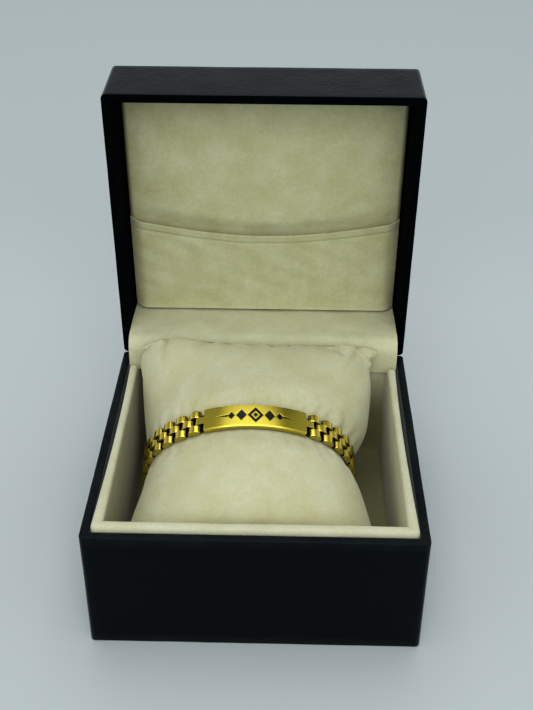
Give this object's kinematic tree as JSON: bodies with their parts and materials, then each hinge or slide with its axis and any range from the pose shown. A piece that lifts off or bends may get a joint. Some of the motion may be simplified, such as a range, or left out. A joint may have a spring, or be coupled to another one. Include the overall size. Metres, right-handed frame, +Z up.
{
  "type": "nameplate bracelet on a cushion in a hinged gift box",
  "caption": "Link bracelet with a curved plate, on a padded velvet cushion in a square leatherette gift box whose hinged lid stands open.",
  "frame": {"origin": "centre of the underside of the box's base, on the surface it stands on", "axes": "+X to the right, +Y towards the hinge, +Z up; the lid is shown open behind the base"},
  "size_m": [0.105, 0.1272, 0.147],
  "materials": {
    "leatherette": "fine-grained black leatherette over board, satin",
    "velvet_lining": "short-pile cream velvet",
    "velvet_cushion": "short-pile cream velvet over padding",
    "gold": "polished yellow gold plating",
    "hinge_brass": "plain brass"
  },
  "bodies": {
    "root": {"base_shell": "leatherette", "base_collar": "velvet_lining", "cushion": "velvet_cushion", "name_plate": "gold", "chain_left": "gold", "chain_right": "gold", "clasp": "gold", "hinge_base_leaf": "hinge_brass", "hinge_pin": "hinge_brass", "hinge_flap": "velvet_lining"},
    "lid": {"hinge_lid_leaf": "hinge_brass", "lid_shell": "leatherette", "lid_pad": "velvet_lining", "lid_pocket": "velvet_lining"}
  },
  "joints": [
    {"name": "lid_hinge", "type": "hinge", "parent": "root", "child": "lid", "pos_m": [0, 0.05075, 0.0444], "axis": [1, 0, 0], "range_deg": [0, 87.2], "deforming": ["hinge_flap"]}
  ]
}
